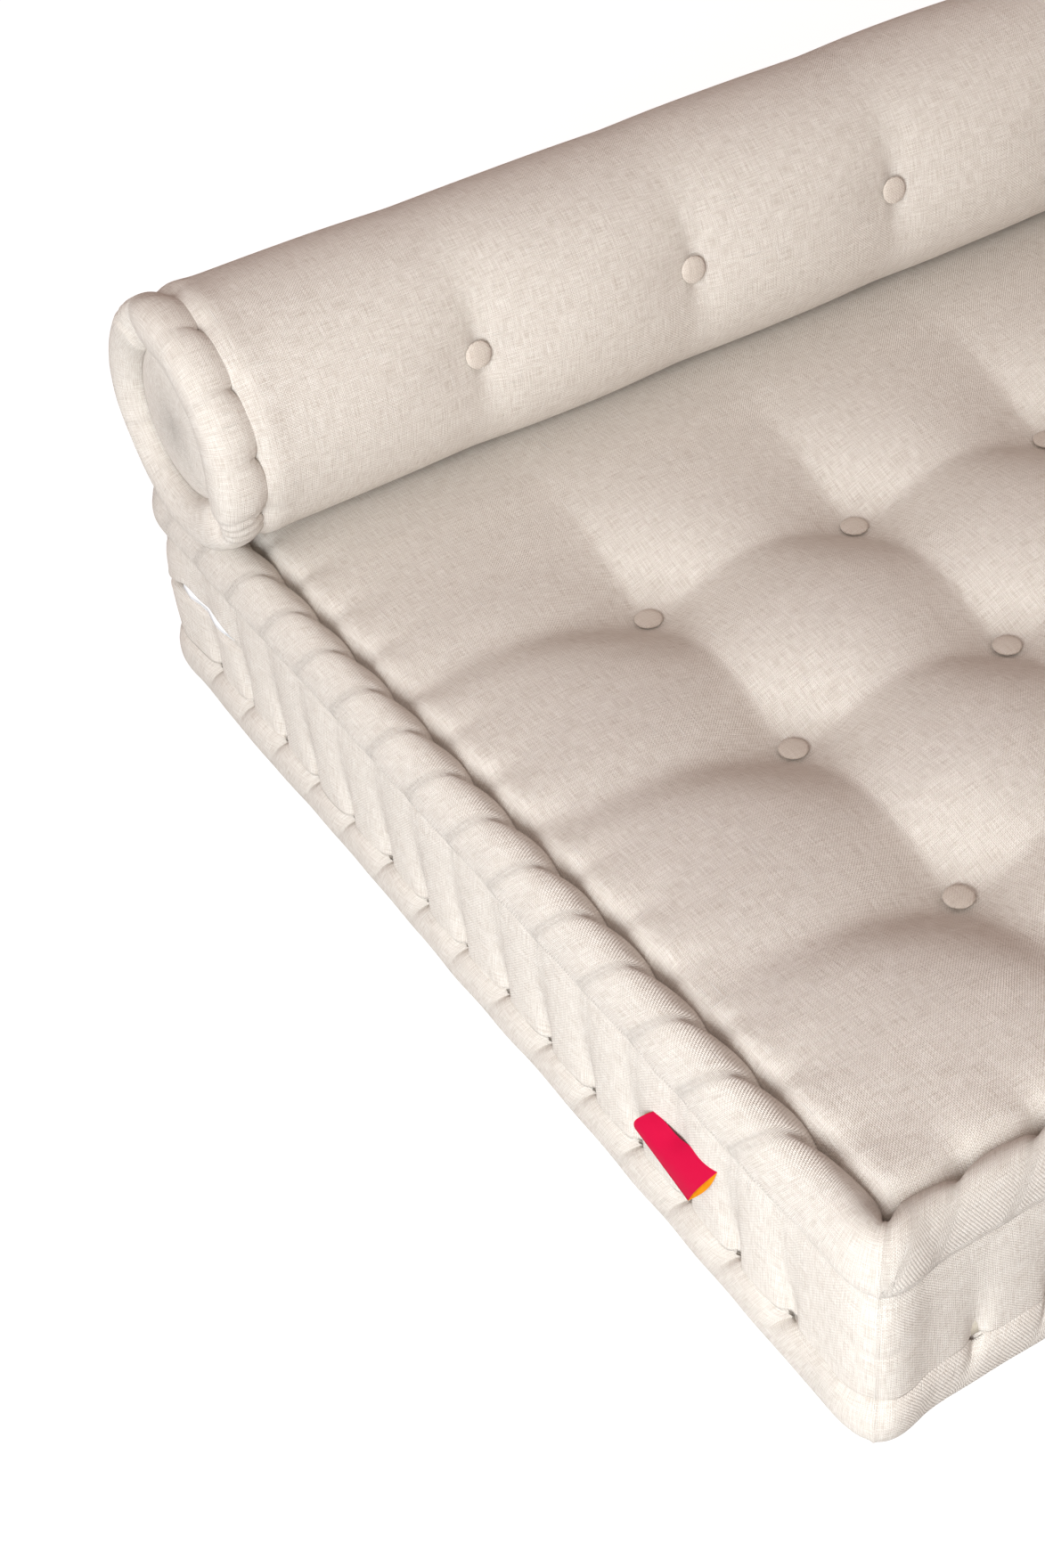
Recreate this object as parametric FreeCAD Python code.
"""Tufted floor mattress with rolled edges, and a loose tufted bolster that lies along its back edge.

Millimetres. +Z is up, X runs along the mattress and -Y is its front. The origin is the middle of
the underside, on the floor.
"""
import FreeCAD, Part
import math
import os

V = FreeCAD.Vector
UP = V(0, 0, 1)
ALONG = V(1, 0, 0)
BACKWARD = V(0, 1, 0)

# Mattress: the size over its rolled edges, and how its side is divided in height
mattress_length = 1912.0
mattress_depth = 1000.0
boxing_height = 106.0
roll_height = 50.0

# Rolled edges: a stuffed bead whose inner side is drawn in at every stitch
roll_width = 44.0
roll_rounding = 20.0
rounding_flats = 3
inner_turn = 2.0
pinch_depth = 8.0
pinch_share = 0.25
stitch_pitch = 58.5
edge_twine_size = 3.0
floor_flat = 0.5

# Boxing: the gathered strips between the rolls
boxing_recess = 5.0
gather_depth = 3.0
boxing_pad = 9.0

# Sewn pieces lie this far apart where a curved face meets another piece
seam_gap = 0.3

# Cuts reach this far past the faces that they open
cut_margin = 1.0

# Tufting of the mattress
button_columns = 8
column_pitch = 200.0
button_rows = 3
row_pitch = 190.0
front_row_inset = 240.0
button_size = 22.5
button_rim = 2.0
button_height = 5.0
button_crown = 0.62
button_sides = 8
hidden_button_sides = 6
twine_size = 4.0
twine_play = 0.4

# Heights of the tufted panel above the boxing
panel_edge_rise = 29.0
valley_rise = 40.0
crown_rise = 54.0
pit_rise = 7.0
pit_slope = 36.0
pit_folds = 8
vault_flats = 4

# Bolster: its size, how far it lies from the back and past the left end, and its tufting
bolster_diameter = 208.0
bolster_length = 1900.0
bolster_overhang = 15.0
bolster_flats = 24
bolster_back_inset = 11.0
bolster_core_diameter = 120.0
bolster_columns = 8
bolster_pitch = 203.0
bolster_tilt = 13.0
end_draw = 6.0
end_taper = 30.0
bolster_pit_radius = 86.0
bolster_seat_width = 100.0
end_roll_width = 37.0
end_roll_slope = 14.0
end_panel_radius = 55.0
end_panel_crown = 6.0
end_panel_inset = 9.0
end_panel_flat = 0.55

# Zip in the back boxing, which also runs a little way round the left end
zip_height = 106.0
zip_opening = 10.0
zip_wrap = 150.0
zip_end_margin = 86.0
tape_width = 15.0
tape_pad = 1.0
teeth_height = 2.4
teeth_pad = 2.0
teeth_parting = 1.6
stop_length = 5.0

# Slider: two plates joined by a post between the rows of teeth, and an arch that holds the pull
slider_length = 12.0
slider_width = 9.0
slider_plate = 1.0
slider_play = 0.4
slider_groove_width = 13.0
post_width = 1.0
post_length = 3.0
flange_width = 0.9
shoulder_share = 0.45
neck_share = 0.72
nose_bevel = 1.0
tail_bulge = 0.6
arch_length = 8.0
arch_width = 1.8
arch_bar = 1.2
arch_opening = 2.4
arch_rounding = 0.96

# Pull tab: a flat tab with a slot that straddles the arch
pull_length = 27.0
pull_width = 7.0
pull_pad = 1.2
pull_slot_length = 7.0
pull_slot_width = 3.0
pull_bar = 1.4
pull_neck_share = 0.8
thumb_hole = 2.8
thumb_inset = 4.2

# Folded label on the left boxing
label_length = 72.0
label_drop = 29.0
label_stand = 11.0
label_pad = 0.8
label_fold = 1.2
label_bow = 2.0
label_sewn_band = 3.0
label_height = 118.0
label_place = -294.0

# Worked out from the driving dimensions
half_length = mattress_length / 2
half_depth = mattress_depth / 2
boxing_top = roll_height + boxing_height
mattress_height = boxing_top + roll_height
corner_radius = roll_width + inner_turn
stitch_inset = roll_width - pinch_depth
core_inset = boxing_recess + boxing_pad + seam_gap
panel_inset = roll_width + seam_gap
bolster_radius = bolster_diameter / 2
bolster_y = half_depth - bolster_back_inset - bolster_radius
bolster_z = mattress_height + seam_gap + bolster_radius
bolster_x = bolster_length / 2 - bolster_overhang - half_length
bolster_body_half = bolster_length / 2 - end_roll_width
slider_rest_x = half_length - zip_end_margin

column_places = [(i - (button_columns - 1) / 2) * column_pitch for i in range(button_columns)]
row_places = [front_row_inset - half_depth + i * row_pitch for i in range(button_rows)]
bolster_places = [(i - (bolster_columns - 1) / 2) * bolster_pitch for i in range(bolster_columns)]

# Each side of the mattress: turn of its local frame, half its run and its distance from the middle
SIDES = {
    "front": (0, half_length, half_depth),
    "right": (90, half_depth, half_length),
    "back": (180, half_length, half_depth),
    "left": (270, half_depth, half_length),
}


def line(start, end):
    return Part.LineSegment(start, end).toShape()


def arc(start, middle, end):
    return Part.Arc(start, middle, end).toShape()


def solid_from(edges, direction):
    """Closed outline of edges, carried along a direction."""
    return Part.Face(Part.Wire(edges)).extrude(direction)


def polygon_edges(points):
    return [line(a, b) for a, b in zip(points, points[1:] + points[:1])]


def box(low, high):
    size = high - low
    return Part.makeBox(size.x, size.y, size.z, low)


def rounded_outline(inset, height):
    """Outline of the mattress in plan, moved inwards by inset."""
    x = half_length - inset
    y = half_depth - inset
    r = corner_radius - inset
    turn = r * (1 - math.sqrt(0.5))
    edges = []
    corners = [(x, -y, -1, 0, 0, 1), (x, y, 0, -1, -1, 0), (-x, y, 1, 0, 0, -1), (-x, -y, 0, 1, 1, 0)]
    previous = V(-x + r, -y, height)
    for cx, cy, ix, iy, ox, oy in corners:
        start = V(cx + ix * r, cy + iy * r, height)
        end = V(cx + ox * r, cy + oy * r, height)
        middle = V(cx + (ix + ox) * turn, cy + (iy + oy) * turn, height)
        edges.append(line(previous, start))
        edges.append(arc(start, middle, end))
        previous = end
    return edges


def plan_band(outer_inset, inner_inset, low, high):
    """Ring of constant width that follows the outline of the mattress."""
    rise = UP * (high - low)
    outer = solid_from(rounded_outline(outer_inset, low), rise)
    return outer.cut(solid_from(rounded_outline(inner_inset, low), rise))


def side_stitches(half_run):
    """Stitches of one side, from corner to corner, along its run."""
    reach = half_run - stitch_inset
    count = max(2, round(2 * reach / stitch_pitch))
    return [-reach + 2 * reach * i / count for i in range(count + 1)]


def placed_on_side(shape, side):
    shape.rotate(V(0, 0, 0), UP, SIDES[side][0])
    return shape


def roll_section(seam, rim):
    """Section of a rolled edge at the left face: rounded with flats, and sloping in at the filling.

    seam is the height that faces the boxing and rim the height that faces away from it.
    """
    r = roll_rounding
    height = abs(rim - seam)
    away = 1 if rim > seam else -1
    points = []
    for depth, rise, start in ((r, r, 270), (r, height - r, 180), (roll_width - r, height - r, 90)):
        for k in range(rounding_flats + 1):
            angle = math.radians(start - 90 * k / rounding_flats)
            points.append((depth + r * math.cos(angle), rise + r * math.sin(angle)))
    points += [(roll_width, r), (roll_width - r, 0)]
    return polygon_edges([V(depth - half_length, 0, seam + away * rise) for depth, rise in points])


def roll_bar(side, seam, rim):
    """One side's stuffed bead, with half of the rounded corner at each end."""
    half_run, half_span = SIDES[side][1:]
    face = Part.Face(Part.Wire(roll_section(seam, rim)))
    straight = half_run - corner_radius
    face.translate(V(half_length - half_span, -straight, 0))
    pivot = V(corner_radius - half_span, 0, 0)
    bar = face.extrude(BACKWARD * 2 * straight)
    near = face.revolve(pivot + V(0, -straight, 0), UP, 45)
    face.translate(BACKWARD * 2 * straight)
    far = face.revolve(pivot + V(0, straight, 0), UP, -45)
    bar = bar.fuse([near, far]).removeSplitter()
    bar.rotate(V(0, 0, 0), UP, 90)
    return placed_on_side(bar, side)


def drawn_in_side(side, low, high):
    """Plan region of one side: mitred at the corners, and drawn in at each stitch."""
    half_run, half_span = SIDES[side][1:]
    stitch_line = -(half_span - stitch_inset)
    crest_line = -(half_span - roll_width)
    stitches = side_stitches(half_run)
    points = [V(stitches[0], stitch_line, low)]
    for a, b in zip(stitches, stitches[1:]):
        shoulder = (b - a) * pinch_share
        points.append(V(a + shoulder, crest_line, low))
        points.append(V(b - shoulder, crest_line, low))
        points.append(V(b, stitch_line, low))
    points.append(points[-1] + V(roll_width, -roll_width, 0))
    points.append(points[0] + V(-roll_width, -roll_width, 0))
    return placed_on_side(solid_from(polygon_edges(points), UP * (high - low)), side)


def mitred_region(side, depth, low, high):
    """Wedge in plan that holds one side to some depth, between the mitres of its two corners."""
    half_run, half_span = SIDES[side][1:]
    reach = 2 * corner_radius
    wedge = solid_from(polygon_edges([
        V(-half_run - reach, -half_span - reach, low),
        V(half_run + reach, -half_span - reach, low),
        V(half_run - depth, -half_span + depth, low),
        V(-half_run + depth, -half_span + depth, low),
    ]), UP * (high - low))
    return placed_on_side(wedge, side)


def make_top_rolls():
    """The four sides of the top rolled edge, drawn in at every stitch."""
    return {
        f"top_roll_{side}": roll_bar(side, boxing_top, mattress_height).common(
            drawn_in_side(side, boxing_top, mattress_height))
        for side in SIDES
    }


def make_bottom_rolls():
    """The four sides of the bottom rolled edge, which the floor presses flat."""
    return {
        f"bottom_roll_{side}": roll_bar(side, roll_height, -floor_flat).common(
            mitred_region(side, roll_width, 0, roll_height))
        for side in SIDES
    }


def edge_twine(height):
    """Stitching twine that runs along the inside of a rolled edge, beside its slope."""
    rise = UP * edge_twine_size
    loops = []
    for inset in (roll_width - edge_twine_size, roll_width):
        x = half_length - inset
        y = half_depth - inset
        corners = [V(-x, -y, height), V(x, -y, height), V(x, y, height), V(-x, y, height)]
        loops.append(solid_from(polygon_edges(corners), rise))
    return loops[0].cut(loops[1])


def gathered_block(low, high):
    """Block of the boxing's size, whose outline is drawn in at each gather."""
    rise = UP * (high - low)
    valley = boxing_recess + gather_depth
    r = corner_radius - valley
    edges = []
    for side, (turn, half_run, half_span) in SIDES.items():
        straight = half_run - corner_radius
        gathers = [s for s in side_stitches(half_run) if abs(s) < straight - stitch_pitch / 4]
        stops = [-straight] + gathers + [straight]
        valley_line = -(half_span - valley)
        crest_line = -(half_span - boxing_recess)
        side_edges = []
        for a, b in zip(stops, stops[1:]):
            crest = V((a + b) / 2, crest_line, low)
            side_edges.append(line(V(a, valley_line, low), crest))
            side_edges.append(line(crest, V(b, valley_line, low)))
        reach = r * math.sqrt(0.5)
        side_edges.append(arc(
            V(straight, valley_line, low),
            V(straight + reach, valley_line + r - reach, low),
            V(straight + r, valley_line + r, low),
        ))
        for edge in side_edges:
            edge.rotate(V(0, 0, 0), UP, turn)
        edges += side_edges
    return solid_from(edges, rise)


def zip_stretch(low, high, start_past=0.0):
    """Region of the boxing that the zip takes: the back, and a little way round the left end."""
    reach = 2 * corner_radius
    wrap_start = half_depth - zip_wrap + start_past
    behind = box(V(-half_length - reach, half_depth - corner_radius, low),
                 V(slider_rest_x, half_depth + reach, high))
    round_the_end = box(V(-half_length - reach, wrap_start, low),
                        V(-half_length + corner_radius, half_depth, high))
    return behind.fuse(round_the_end)


def zip_panel_region(low, high):
    """Region of the back boxing that is cut in two for the zip, up to the mitre at the right."""
    corner = V(half_length, half_depth, low)
    reach = 2 * corner_radius
    beside_mitre = solid_from(polygon_edges([
        corner + V(reach, reach, 0),
        corner + V(-reach, -reach, 0),
        V(-half_length, half_depth - reach, low),
        V(-half_length - reach, half_depth - reach, low),
        V(-half_length - reach, half_depth + reach, low),
    ]), UP * (high - low))
    wrap_start = half_depth - zip_wrap
    round_the_end = box(V(-half_length - reach, wrap_start, low), V(-half_length + reach, half_depth, high))
    return beside_mitre.fuse(round_the_end)


def make_boxing():
    """Three plain side strips, and the zip panel's two strips with the zip's opening between them."""
    block = gathered_block(roll_height, boxing_top)
    hollow = solid_from(rounded_outline(boxing_recess + boxing_pad, roll_height), UP * boxing_height)
    ring = block.cut(hollow)
    opening_low = zip_height - zip_opening / 2
    opening_high = zip_height + zip_opening / 2
    strips = {
        f"boxing_{side}": ring.common(mitred_region(side, 2 * corner_radius, roll_height, boxing_top))
        for side in ("front", "right", "left")
    }
    strips["boxing_left"] = strips["boxing_left"].cut(zip_panel_region(roll_height, boxing_top))
    strips["zip_panel_lower"] = ring.common(zip_panel_region(roll_height, opening_low))
    strips["zip_panel_upper"] = ring.common(zip_panel_region(opening_high, boxing_top))
    return strips


def laid_twine(size, start, end):
    """Twine between two points, drawn with four flats."""
    run = end - start
    section = even_polygon(4, size / 2, 0)
    shaft = solid_from(polygon_edges(section), UP * run.Length)
    shaft.Placement = FreeCAD.Placement(start, FreeCAD.Rotation(UP, run))
    return shaft


def button_centres():
    return [(x, y) for x in column_places for y in row_places]


def twine_shafts(size, low, high):
    return [laid_twine(size, V(x, y, low), V(x, y, high)) for x, y in button_centres()]


def make_core():
    """Filling slab, needled through for the twines and giving way behind the zip."""
    slab = solid_from(rounded_outline(core_inset, roll_height), UP * boxing_height)
    groove_low = zip_height - slider_groove_width / 2
    groove_high = zip_height + slider_groove_width / 2
    groove_depth = tape_pad + 2 * slider_plate + 2 * slider_play
    groove = plan_band(core_inset - cut_margin, core_inset + groove_depth, groove_low, groove_high)
    tape_room = plan_band(core_inset - cut_margin, core_inset + tape_pad + seam_gap,
                          zip_height - tape_width - teeth_parting, zip_height + tape_width + teeth_parting)
    region = zip_panel_region(roll_height, boxing_top)
    slab = slab.cut(groove.fuse(tape_room).common(region))
    return slab.cut(Part.makeCompound(twine_shafts(twine_size + 2 * twine_play, roll_height, boxing_top)))


def vault_outline(ends, valleys, place):
    """Outline across a row of pillows: low at both ends, and dipping at each line of buttons."""
    stops = [ends[0]] + valleys + [ends[1]]
    heights = [panel_edge_rise] + [valley_rise] * len(valleys) + [panel_edge_rise]
    points = [place(ends[0], 0), place(ends[0], panel_edge_rise)]
    for i in range(len(stops) - 1):
        for k in range(1, vault_flats + 1):
            t = k / vault_flats
            from_ends = heights[i] * (1 - t) * (1 - 2 * t) + heights[i + 1] * t * (2 * t - 1)
            swell = from_ends + crown_rise * 4 * t * (1 - t)
            points.append(place(stops[i] + (stops[i + 1] - stops[i]) * t, swell))
    return polygon_edges(points + [place(ends[1], 0)])


def even_polygon(sides, corner_reach, height):
    """Corners of an even-sided outline round the Z axis."""
    turns = [2 * math.pi * k / sides for k in range(sides)]
    return [V(corner_reach * math.cos(turn), corner_reach * math.sin(turn), height) for turn in turns]


def faceted_solid(rings):
    """Solid with flat facets between outlines of as many corners each, closed at both ends."""
    faces = [Part.Face(Part.makePolygon(ring + ring[:1])) for ring in (rings[0], rings[-1])]
    for below, above in zip(rings, rings[1:]):
        for k in range(len(below)):
            following = (k + 1) % len(below)
            corners = [below[k], below[following], above[following], above[k], below[k]]
            faces.append(Part.Face(Part.makePolygon(corners)))
    solid = Part.makeSolid(Part.Shell(faces))
    if solid.Volume < 0:
        solid.reverse()
    return solid


def button_pit(depth_floor, mouth):
    """Folds that a button draws into the wadding, round a floor just wider than the button."""
    floor_radius = (button_size / 2 + seam_gap) / math.cos(math.pi / pit_folds)
    rise = mouth - depth_floor
    reach = floor_radius + rise / math.tan(math.radians(pit_slope))
    return faceted_solid([even_polygon(pit_folds, floor_radius, 0), even_polygon(pit_folds, reach, rise)])


def make_top_panel():
    """Tufted panel: vaults along and across make the pillows, and each button draws in a pit."""
    x = half_length - panel_inset
    y = half_depth - panel_inset
    seat_front = bolster_y - bolster_seat_width / 2
    across = vault_outline((-y, y), row_places + [seat_front], lambda s, h: V(-x, s, boxing_top + h))
    along = vault_outline((-x, x), column_places, lambda s, h: V(s, -y, boxing_top + h))
    panel = solid_from(across, ALONG * 2 * x).common(solid_from(along, BACKWARD * 2 * y))
    cuts = twine_shafts(twine_size + 2 * twine_play, boxing_top, boxing_top + pit_rise)
    for px, py in button_centres():
        pit = button_pit(pit_rise, crown_rise + cut_margin)
        pit.translate(V(px, py, boxing_top + pit_rise))
        cuts.append(pit)
    panel = panel.cut(Part.makeCompound(cuts))
    seat = Part.makeCylinder(
        bolster_radius + seam_gap, mattress_length, V(-half_length, bolster_y, bolster_z), ALONG)
    return panel.cut(seat)


def make_bottom_panel():
    """Tufted panel under the filling, pressed flat by the floor, with its pits facing down."""
    x = half_length - panel_inset
    y = half_depth - panel_inset
    slab = box(V(-x, -y, -floor_flat), V(x, y, roll_height))
    lower_edges = [e for e in slab.Edges if e.BoundBox.ZMax < 0]
    slab = slab.makeFillet(roll_height - panel_edge_rise, lower_edges)
    slab = slab.common(box(V(-half_length, -half_depth, 0), V(half_length, half_depth, roll_height)))
    cuts = twine_shafts(twine_size + 2 * twine_play, roll_height - pit_rise, roll_height)
    for px, py in button_centres():
        pit = button_pit(pit_rise, roll_height)
        pit.rotate(V(0, 0, 0), ALONG, 180)
        pit.translate(V(px, py, roll_height - pit_rise))
        cuts.append(pit)
    return slab.cut(Part.makeCompound(cuts))


def covered_button(sides):
    """Cloth-covered button with its back at the origin and its crown upwards."""
    r = button_size / 2
    rings = [even_polygon(sides, r, 0), even_polygon(sides, r, button_rim),
             even_polygon(sides, r * button_crown, button_height)]
    return faceted_solid(rings)


def make_buttons(level):
    """All the buttons of the top or the bottom panel, each on the floor of its pit."""
    buttons = []
    for x, y in button_centres():
        button = covered_button(button_sides if level == "top" else hidden_button_sides)
        if level == "bottom":
            button.rotate(V(0, 0, 0), ALONG, 180)
            button.translate(V(x, y, roll_height - pit_rise))
        else:
            button.translate(V(x, y, boxing_top + pit_rise))
        buttons.append(button)
    return Part.makeCompound(buttons)


def make_zip():
    """Tapes, rows of teeth and end stops, which follow the boxing round the left corner."""
    tape_inset = core_inset
    teeth_inset = tape_inset - teeth_pad
    start = teeth_parting / 2
    parts = {}
    for name, sign in (("upper", 1), ("lower", -1)):
        tape_edges = sorted((zip_height + sign * start, zip_height + sign * (start + tape_width)))
        teeth_edges = sorted((zip_height + sign * start, zip_height + sign * (start + teeth_height)))
        tape = plan_band(tape_inset, tape_inset + tape_pad, *tape_edges)
        teeth = plan_band(teeth_inset, tape_inset, *teeth_edges)
        parts[f"zip_tape_{name}"] = tape.common(zip_panel_region(*tape_edges))
        parts[f"zip_teeth_{name}"] = teeth.common(zip_stretch(*teeth_edges, start_past=2 * stop_length))
    reach = start + teeth_height
    low = zip_height - reach
    wrap_start = half_depth - zip_wrap + stop_length
    face = half_length - tape_inset
    bottom_stop = box(V(-face - teeth_pad, wrap_start, low),
                      V(-face, wrap_start + stop_length - seam_gap, low + 2 * reach))
    top_start = slider_rest_x + seam_gap
    back = half_depth - tape_inset
    top_stops = [
        box(V(top_start, back, edge), V(top_start + stop_length, back + teeth_pad, edge + teeth_height))
        for edge in (low, zip_height + start)
    ]
    parts["zip_stops"] = Part.makeCompound([bottom_stop] + top_stops)
    return parts


def slider_frame():
    """Depths of the slider's faces behind the boxing's outer face, counted inwards from the back."""
    teeth_face = core_inset - teeth_pad
    front_inner = teeth_face - slider_play
    rear_inner = core_inset + tape_pad + slider_play
    return front_inner, rear_inner


def outward_box(x0, x1, inset0, inset1, z0, z1):
    """Box on the back of the mattress between two insets, with heights counted from the zip."""
    return box(V(x0, half_depth - inset1, zip_height + z0), V(x1, half_depth - inset0, zip_height + z1))


def slider_plate_solid(inset0, inset1):
    """Plate that narrows towards its tail, as a slider does where the rows of teeth meet."""
    tail = slider_rest_x - slider_length - slider_play
    nose = tail + slider_length
    shoulder = tail + slider_length * shoulder_share
    w = slider_width / 2
    neck = w * neck_share
    y = half_depth - inset1
    corners = [
        V(tail, y, -neck), V(shoulder, y, -w), V(nose - nose_bevel, y, -w), V(nose, y, nose_bevel - w),
        V(nose, y, w - nose_bevel), V(nose - nose_bevel, y, w), V(shoulder, y, w), V(tail, y, neck),
    ]
    edges = [line(a, b) for a, b in zip(corners, corners[1:])]
    edges.append(arc(corners[-1], V(tail - tail_bulge, y, 0), corners[0]))
    for edge in edges:
        edge.translate(UP * zip_height)
    return solid_from(edges, BACKWARD * (inset1 - inset0))


def make_slider():
    front_inner, rear_inner = slider_frame()
    tail = slider_rest_x - slider_length - slider_play
    nose = tail + slider_length
    front_outer = front_inner - slider_plate
    body = slider_plate_solid(front_outer, front_inner)
    body = body.fuse(slider_plate_solid(rear_inner, rear_inner + slider_plate))
    half_post = post_width / 2
    body = body.fuse(outward_box(nose - post_length, nose, front_inner, rear_inner, -half_post, half_post))
    w = slider_width / 2
    for sign in (-1, 1):
        edge = sorted((sign * w, sign * (w - flange_width)))
        shoulder = tail + slider_length * shoulder_share
        body = body.fuse(outward_box(
            shoulder, nose - nose_bevel, front_inner, core_inset - slider_play, *edge))
    middle = (tail + nose) / 2
    arch = outward_box(middle - arch_length / 2, middle + arch_length / 2,
                       front_outer - arch_opening - arch_bar, front_outer, -arch_width / 2, arch_width / 2)
    opening = outward_box(middle - arch_length / 2 + arch_bar, middle + arch_length / 2 - arch_bar,
                          front_outer - arch_opening, front_outer, -arch_width, arch_width)
    outer_face = half_depth - front_outer + arch_opening
    rim = [edge for edge in arch.Edges if edge.BoundBox.YMin > outer_face
           and edge.BoundBox.ZLength > edge.BoundBox.XLength]
    arch = arch.makeFillet(arch_rounding, rim).cut(opening)
    return body.fuse(arch).removeSplitter()


def make_pull():
    """Tab whose cross bar turns under the slider's arch, lying back along the zip."""
    front_inner = slider_frame()[0]
    axis_inset = front_inner - slider_plate - arch_opening / 2
    axis_x = slider_rest_x - slider_play - slider_length / 2
    w = pull_width / 2
    neck = w * pull_neck_share
    end = axis_x - pull_length
    y = half_depth - axis_inset - pull_pad / 2
    z = zip_height
    outline = [
        line(V(axis_x, y, z - neck), V(axis_x, y, z + neck)),
        line(V(axis_x, y, z + neck), V(end + w, y, z + w)),
        arc(V(end + w, y, z + w), V(end, y, z), V(end + w, y, z - w)),
        line(V(end + w, y, z - w), V(axis_x, y, z - neck)),
    ]
    tab = solid_from(outline, BACKWARD * pull_pad)
    before = y - cut_margin
    behind = y + pull_pad + cut_margin
    slot = box(V(axis_x - pull_slot_length, before, z - pull_slot_width / 2),
               V(axis_x + cut_margin, behind, z + pull_slot_width / 2))
    thumb = Part.makeCylinder(thumb_hole / 2, behind - before, V(end + thumb_inset, before, z), BACKWARD)
    bar = Part.makeCylinder(pull_bar / 2, 2 * neck, V(axis_x, y + pull_pad / 2, z - neck), UP)
    return tab.cut(slot).cut(thumb).fuse(bar).removeSplitter()


def make_label():
    """Ribbon folded once lengthwise, sewn by both edges and standing out at its fold."""
    sewn = boxing_recess - half_length - seam_gap
    out = boxing_recess - half_length - label_stand
    y = label_place - label_length / 2
    top = label_height
    low = top - label_drop
    middle = (top + low) / 2
    fold = out + label_fold
    front = (sewn + out) / 2 - label_bow
    back = (sewn + fold) / 2 + label_bow / 2
    front_edge = V(sewn - 2 * label_pad, y, top)
    ribbon = solid_from([
        line(V(sewn, y, top), front_edge),
        arc(front_edge, V(front, y, middle), V(out, y, low + label_fold)),
        line(V(out, y, low + label_fold), V(fold, y, low)),
        arc(V(fold, y, low), V(back, y, middle), V(sewn, y, top)),
    ], BACKWARD * label_length)
    closed = V(sewn - 3 * label_pad / 2, y, top - label_sewn_band)
    hollow_low = V(fold + label_pad, y, low + label_pad)
    hollow_front = V(out + 3 * label_pad / 2, y, low + label_fold + label_pad)
    hollow = solid_from([
        line(hollow_low, hollow_front),
        arc(hollow_front, V(front + label_pad, y, middle), closed),
        arc(closed, V(back - label_pad, y, middle), hollow_low),
    ], BACKWARD * label_length)
    return ribbon.cut(hollow)


def on_bolster(shape):
    """Shape made about the X axis, carried to the bolster's place."""
    shape.translate(V(bolster_x, bolster_y, bolster_z))
    return shape


def tilted(shape):
    """The tufting axis points forward and a little up, and the rear buttons back and down."""
    shape.rotate(V(0, 0, 0), ALONG, -bolster_tilt)
    return shape


def round_piece(rings, sign):
    """Body with many flats round the bolster's axis, from rings of (radius, place) along it.

    sign is 1 where the places run to the right and -1 where they run to the left.
    """
    body = faceted_solid([even_polygon(bolster_flats, radius, place) for radius, place in rings])
    body.rotate(V(0, 0, 0), BACKWARD, sign * 90)
    return body


def make_bolster_cover():
    """Long round body, drawn in at the seams of its ends, with a pit for each button."""
    half = bolster_body_half
    bore = bolster_core_diameter / 2 + seam_gap
    drawn_in = bolster_radius - end_draw
    outside = [
        (drawn_in, -half), (bolster_radius, end_taper - half),
        (bolster_radius, half - end_taper), (drawn_in, half),
    ]
    body = round_piece(outside, 1).cut(round_piece([(bore, -half), (bore, half)], 1))
    cuts = bolster_shafts(twine_size + 2 * twine_play)
    for x in bolster_places:
        for turn in (90, -90):
            pit = button_pit(bolster_pit_radius, bolster_radius + cut_margin)
            pit.translate(UP * bolster_pit_radius)
            pit.rotate(V(0, 0, 0), ALONG, turn)
            pit = tilted(pit)
            pit.translate(ALONG * x)
            cuts.append(pit)
    return on_bolster(body.cut(Part.makeCompound(cuts)))


def bolster_shafts(size):
    shafts = []
    for x in bolster_places:
        shaft = laid_twine(size, V(0, -bolster_pit_radius, 0), V(0, bolster_pit_radius, 0))
        shaft = tilted(shaft)
        shaft.translate(ALONG * x)
        shafts.append(shaft)
    return shafts


def make_bolster_core():
    """Round filling core under the wadding, as long as the cover."""
    reach = bolster_core_diameter / 2
    core = round_piece([(reach, -bolster_body_half), (reach, bolster_body_half)], 1)
    return on_bolster(core.cut(Part.makeCompound(bolster_shafts(twine_size + 2 * twine_play))))


def make_bolster_buttons(turn):
    """Row of eight buttons, turned to the front or to the rear."""
    buttons = []
    for x in bolster_places:
        button = covered_button(button_sides)
        button.translate(UP * bolster_pit_radius)
        button.rotate(V(0, 0, 0), ALONG, turn)
        button = tilted(button)
        button.translate(ALONG * x)
        buttons.append(button)
    return on_bolster(Part.makeCompound(buttons))


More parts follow.
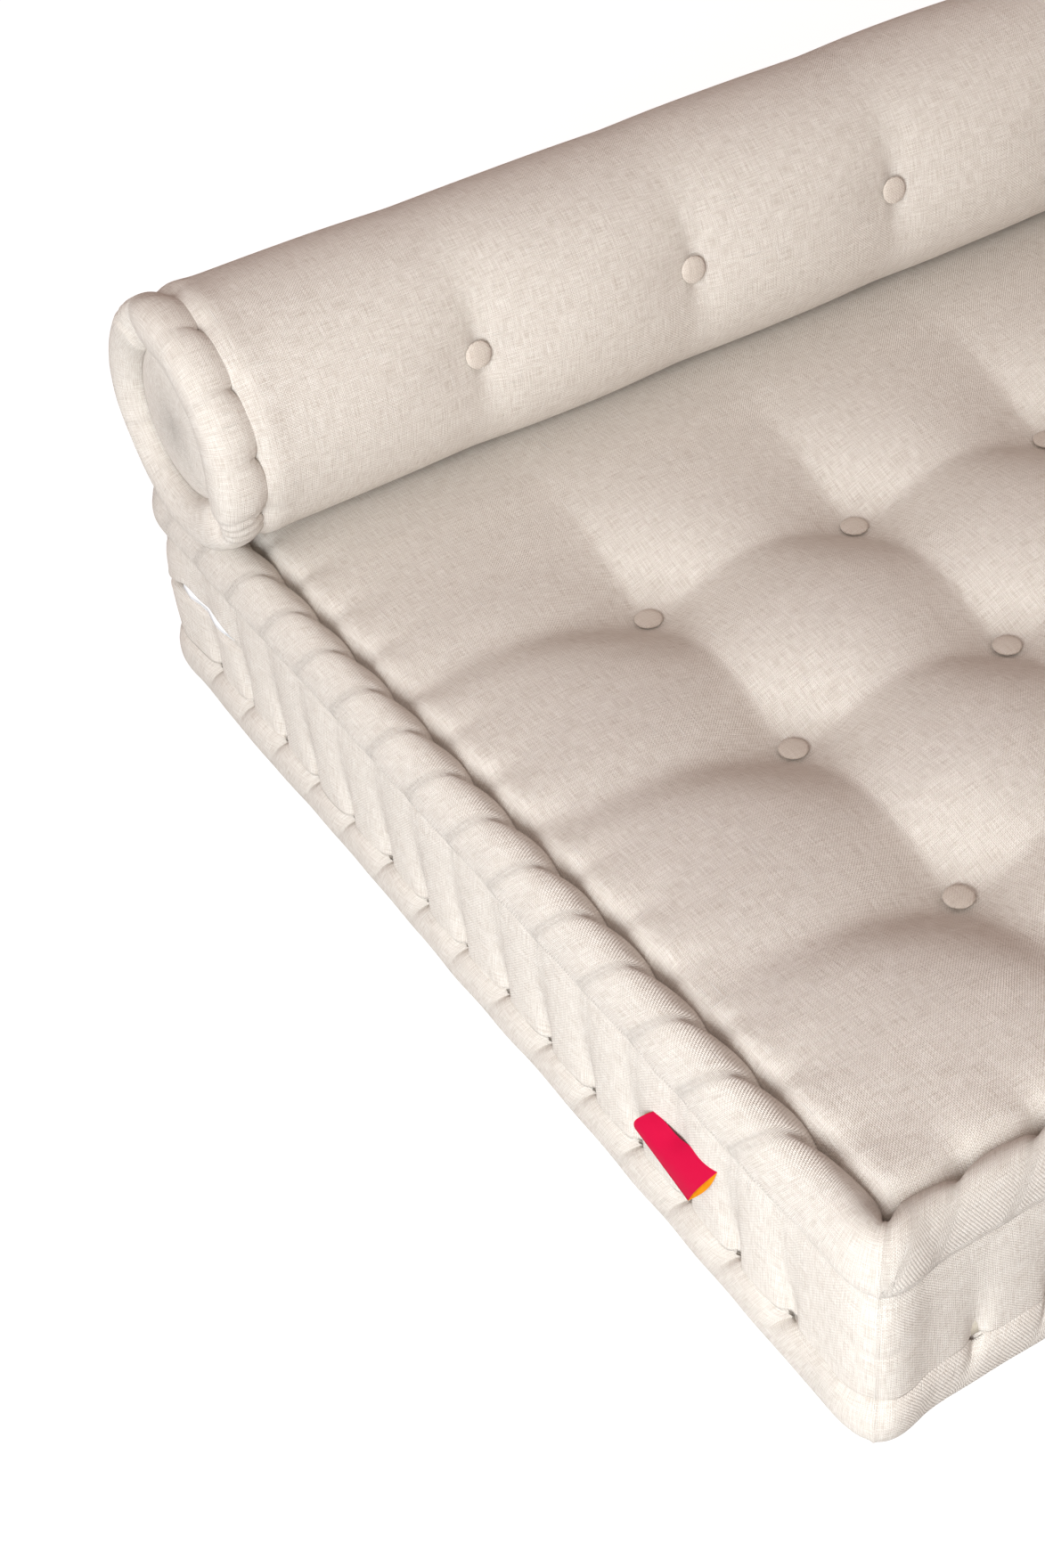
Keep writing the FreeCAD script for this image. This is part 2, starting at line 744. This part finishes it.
def make_end_roll(sign):
    """Stuffed ring round one end, full in the middle and sloping off to its seams."""
    inner = bolster_body_half + seam_gap
    outer = bolster_length / 2
    low = end_panel_radius + seam_gap
    high = bolster_radius
    slope = end_roll_slope
    outside = [(high - end_draw, inner), (high, inner + slope), (high, outer - slope), (high - slope, outer)]
    hole = [(low, inner), (low, outer - slope), (low + slope, outer)]
    return on_bolster(round_piece(outside, sign).cut(round_piece(hole, sign)))


def make_end_panel(sign):
    """Round padded panel in the middle of one end, swelling outwards."""
    back = bolster_body_half + seam_gap
    crown = bolster_length / 2 - end_panel_inset
    r = end_panel_radius
    rings = [(r, back), (r, crown - end_panel_crown), (r * end_panel_flat, crown)]
    return on_bolster(round_piece(rings, sign))


def all_parts():
    parts = {
        "mattress_core": make_core(),
        "top_panel": make_top_panel(),
        "bottom_panel": make_bottom_panel(),
    }
    parts.update(make_boxing())
    parts.update(make_top_rolls())
    parts.update(make_bottom_rolls())
    parts["top_edge_twine"] = edge_twine(boxing_top)
    parts["bottom_edge_twine"] = edge_twine(roll_height - edge_twine_size)
    parts["top_buttons"] = make_buttons("top")
    parts["bottom_buttons"] = make_buttons("bottom")
    parts["tufting_twines"] = Part.makeCompound(
        twine_shafts(twine_size, roll_height - pit_rise, boxing_top + pit_rise))
    parts["side_label"] = make_label()
    parts.update(make_zip())
    parts["zip_slider"] = make_slider()
    parts["zip_pull"] = make_pull()
    parts["bolster_cover"] = make_bolster_cover()
    parts["bolster_core"] = make_bolster_core()
    parts["bolster_front_buttons"] = make_bolster_buttons(90)
    parts["bolster_rear_buttons"] = make_bolster_buttons(-90)
    shafts = bolster_shafts(twine_size)
    parts["bolster_twines"] = on_bolster(Part.makeCompound(shafts))
    for name, sign in (("left", -1), ("right", 1)):
        parts[f"bolster_end_roll_{name}"] = make_end_roll(sign)
        parts[f"bolster_end_panel_{name}"] = make_end_panel(sign)
    return parts


os.makedirs("parts", exist_ok=True)
for node, shape in all_parts().items():
    shape.exportStep(f"parts/{node}.step")
    bounds = shape.BoundBox
    print(node, len(shape.Solids), "solid(s), volume", round(shape.Volume / 1e6, 4), "litres, height",
          round(bounds.ZMin, 1), "to", round(bounds.ZMax, 1), "valid", shape.isValid())
